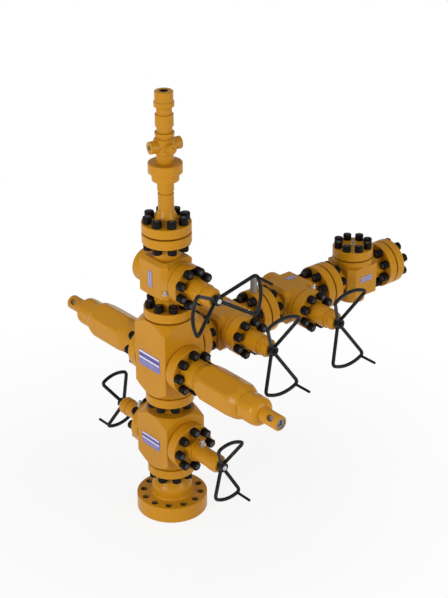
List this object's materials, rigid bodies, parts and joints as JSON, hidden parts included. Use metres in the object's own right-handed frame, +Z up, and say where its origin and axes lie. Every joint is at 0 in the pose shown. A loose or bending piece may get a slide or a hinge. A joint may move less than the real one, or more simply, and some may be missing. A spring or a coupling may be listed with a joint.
{
  "type": "wellhead valve stack",
  "caption": "Painted steel wellhead valve stack: flanged blocks, side ram cylinders, gate valves with bent-bar handwheels, a side wing with a tee, and a slim top pipe.",
  "frame": {"origin": "centre of the base flange bottom face", "axes": "+Z up along the vertical bore, +X towards the gate valve handwheels, +Y along the side wing"},
  "size_m": [1.804, 1.9065, 2.4514],
  "materials": {
    "valve_paint": "satin",
    "wheel_black": "satin",
    "bright_steel": "satin",
    "plate_blue": "satin"
  },
  "bodies": {
    "root": {"base_adapter": "valve_paint", "bleed_body": "valve_paint", "crown_coupling": "valve_paint", "lower_bearing_cap_left": "valve_paint", "lower_bearing_cap_right": "valve_paint", "lower_block": "valve_paint", "lower_bonnet_left": "valve_paint", "lower_bonnet_right": "valve_paint", "nameplates": "plate_blue", "plugs_and_fittings": "bright_steel", "ram_block": "valve_paint", "ram_bonnet_left": "valve_paint", "ram_bonnet_right": "valve_paint", "ram_cylinder_left": "valve_paint", "ram_cylinder_right": "valve_paint", "ram_end_cap_left": "valve_paint", "ram_end_cap_right": "valve_paint", "ram_lock_screw_left": "valve_paint", "ram_lock_screw_right": "valve_paint", "swab_bearing_cap": "valve_paint", "swab_body": "valve_paint", "swab_bonnet": "valve_paint", "tee_block": "valve_paint", "tee_cover_flange": "valve_paint", "threaded_sub": "valve_paint", "top_adapter": "valve_paint", "top_tube": "valve_paint", "union_nut": "valve_paint", "wing_end_flange": "valve_paint", "wing_inner_bearing_cap": "valve_paint", "wing_inner_body": "valve_paint", "wing_inner_bonnet": "valve_paint", "wing_outer_bearing_cap": "valve_paint", "wing_outer_body": "valve_paint", "wing_outer_bonnet": "valve_paint"},
    "lower_right_wheel": {"lower_right_handwheel": "wheel_black", "lower_right_stem": "bright_steel"},
    "lower_left_wheel": {"lower_left_handwheel": "wheel_black", "lower_left_stem": "bright_steel"},
    "swab_wheel": {"swab_handwheel": "wheel_black", "swab_stem": "bright_steel"},
    "wing_inner_wheel": {"wing_inner_handwheel": "wheel_black", "wing_inner_stem": "bright_steel"},
    "wing_outer_wheel": {"wing_outer_handwheel": "wheel_black", "wing_outer_stem": "bright_steel"}
  },
  "joints": [
    {"name": "lower_right_wheel_turn", "type": "hinge", "parent": "root", "child": "lower_right_wheel", "pos_m": [0.428, 0, 0.46], "axis": [1, 0, 0], "range_deg": [0, 4950]},
    {"name": "lower_left_wheel_turn", "type": "hinge", "parent": "root", "child": "lower_left_wheel", "pos_m": [-0.428, 0, 0.46], "axis": [-1, 0, 0], "range_deg": [0, 4950]},
    {"name": "swab_wheel_turn", "type": "hinge", "parent": "root", "child": "swab_wheel", "pos_m": [0.391, 0, 1.4385], "axis": [1, 0, 0], "range_deg": [0, 4950]},
    {"name": "wing_inner_wheel_turn", "type": "hinge", "parent": "root", "child": "wing_inner_wheel", "pos_m": [0.391, 0.385, 1.014], "axis": [1, 0, 0], "range_deg": [0, 4950]},
    {"name": "wing_outer_wheel_turn", "type": "hinge", "parent": "root", "child": "wing_outer_wheel", "pos_m": [0.391, 0.873, 1.014], "axis": [1, 0, 0], "range_deg": [0, 4950]}
  ]
}
